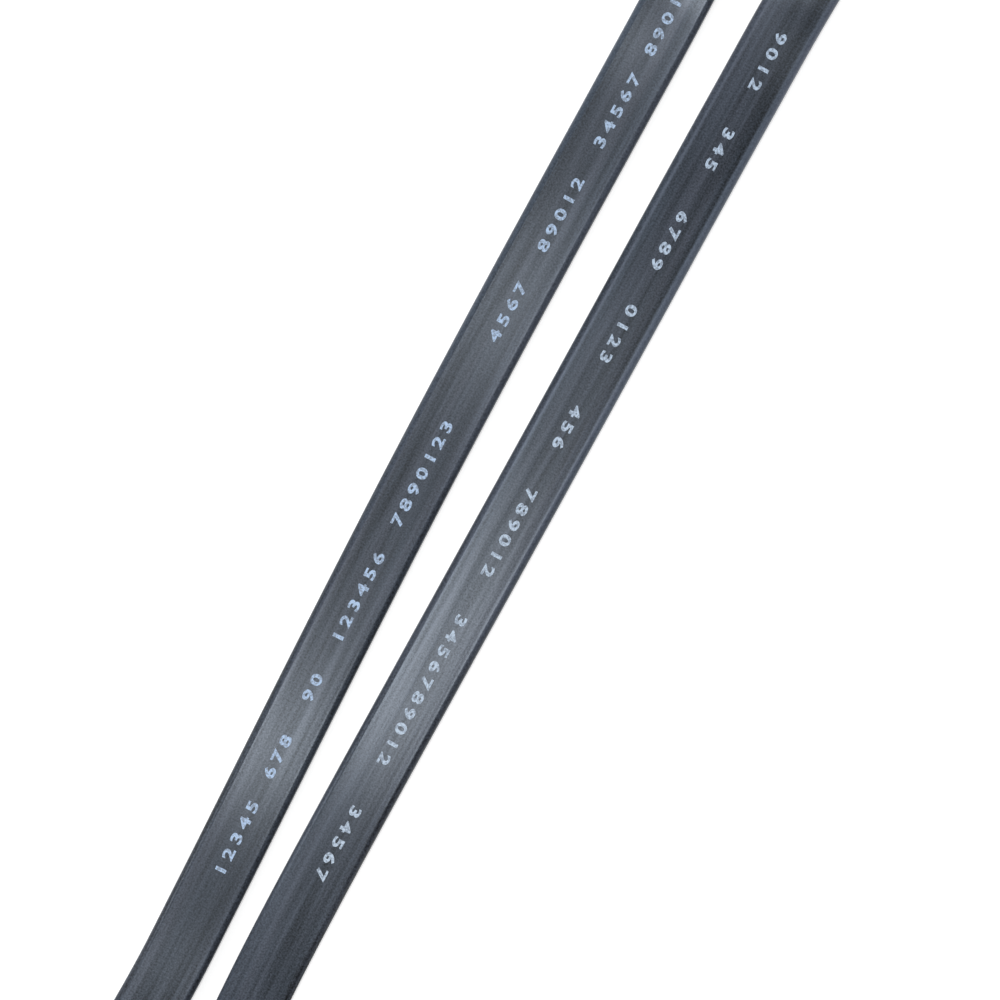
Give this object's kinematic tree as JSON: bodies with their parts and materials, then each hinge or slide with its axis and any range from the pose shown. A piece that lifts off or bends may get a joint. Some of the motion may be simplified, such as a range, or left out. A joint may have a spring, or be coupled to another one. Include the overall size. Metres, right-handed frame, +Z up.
{
  "type": "sata data cable",
  "caption": "Flat shielded data cable with a straight keyed plug on each end, folded back on itself in a hairpin.",
  "frame": {"origin": "centre of the footprint, on the surface that the cable lies on", "axes": "+Y along the two legs, from the plugs towards the hairpin; +Z up, out of the printed face of the legs; +X from plug A's leg to plug B's leg"},
  "size_m": [0.029, 0.254, 0.008],
  "materials": {
    "jacket": "satin extruded vinyl, dark slate, with faint lengthwise streaks",
    "foil": "bright wrapped foil",
    "core": "plain white insulation",
    "wire": "tinned copper wire",
    "housing": "moulded black nylon",
    "hood": "overmoulded black vinyl, fine texture",
    "mould": "plain natural moulding",
    "contact": "gold-plated springs"
  },
  "bodies": {
    "root": {"jacket": "jacket", "foil_shield_1": "foil", "foil_shield_2": "foil", "core_insulation_1": "core", "core_insulation_2": "core", "core_insulation_3": "core", "core_insulation_4": "core", "conductor_1": "wire", "conductor_2": "wire", "conductor_3": "wire", "conductor_4": "wire", "drain_wire_1": "wire", "drain_wire_2": "wire", "drain_wire_3": "wire", "drain_wire_4": "wire", "plug_a_housing": "housing", "plug_a_hood": "hood", "plug_a_inner_mould": "mould", "plug_a_contact_1": "contact", "plug_a_contact_2": "contact", "plug_a_contact_3": "contact", "plug_a_contact_4": "contact", "plug_a_contact_5": "contact", "plug_a_contact_6": "contact", "plug_a_contact_7": "contact", "plug_b_housing": "housing", "plug_b_hood": "hood", "plug_b_inner_mould": "mould", "plug_b_contact_1": "contact", "plug_b_contact_2": "contact", "plug_b_contact_3": "contact", "plug_b_contact_4": "contact", "plug_b_contact_5": "contact", "plug_b_contact_6": "contact", "plug_b_contact_7": "contact"}
  },
  "joints": []
}
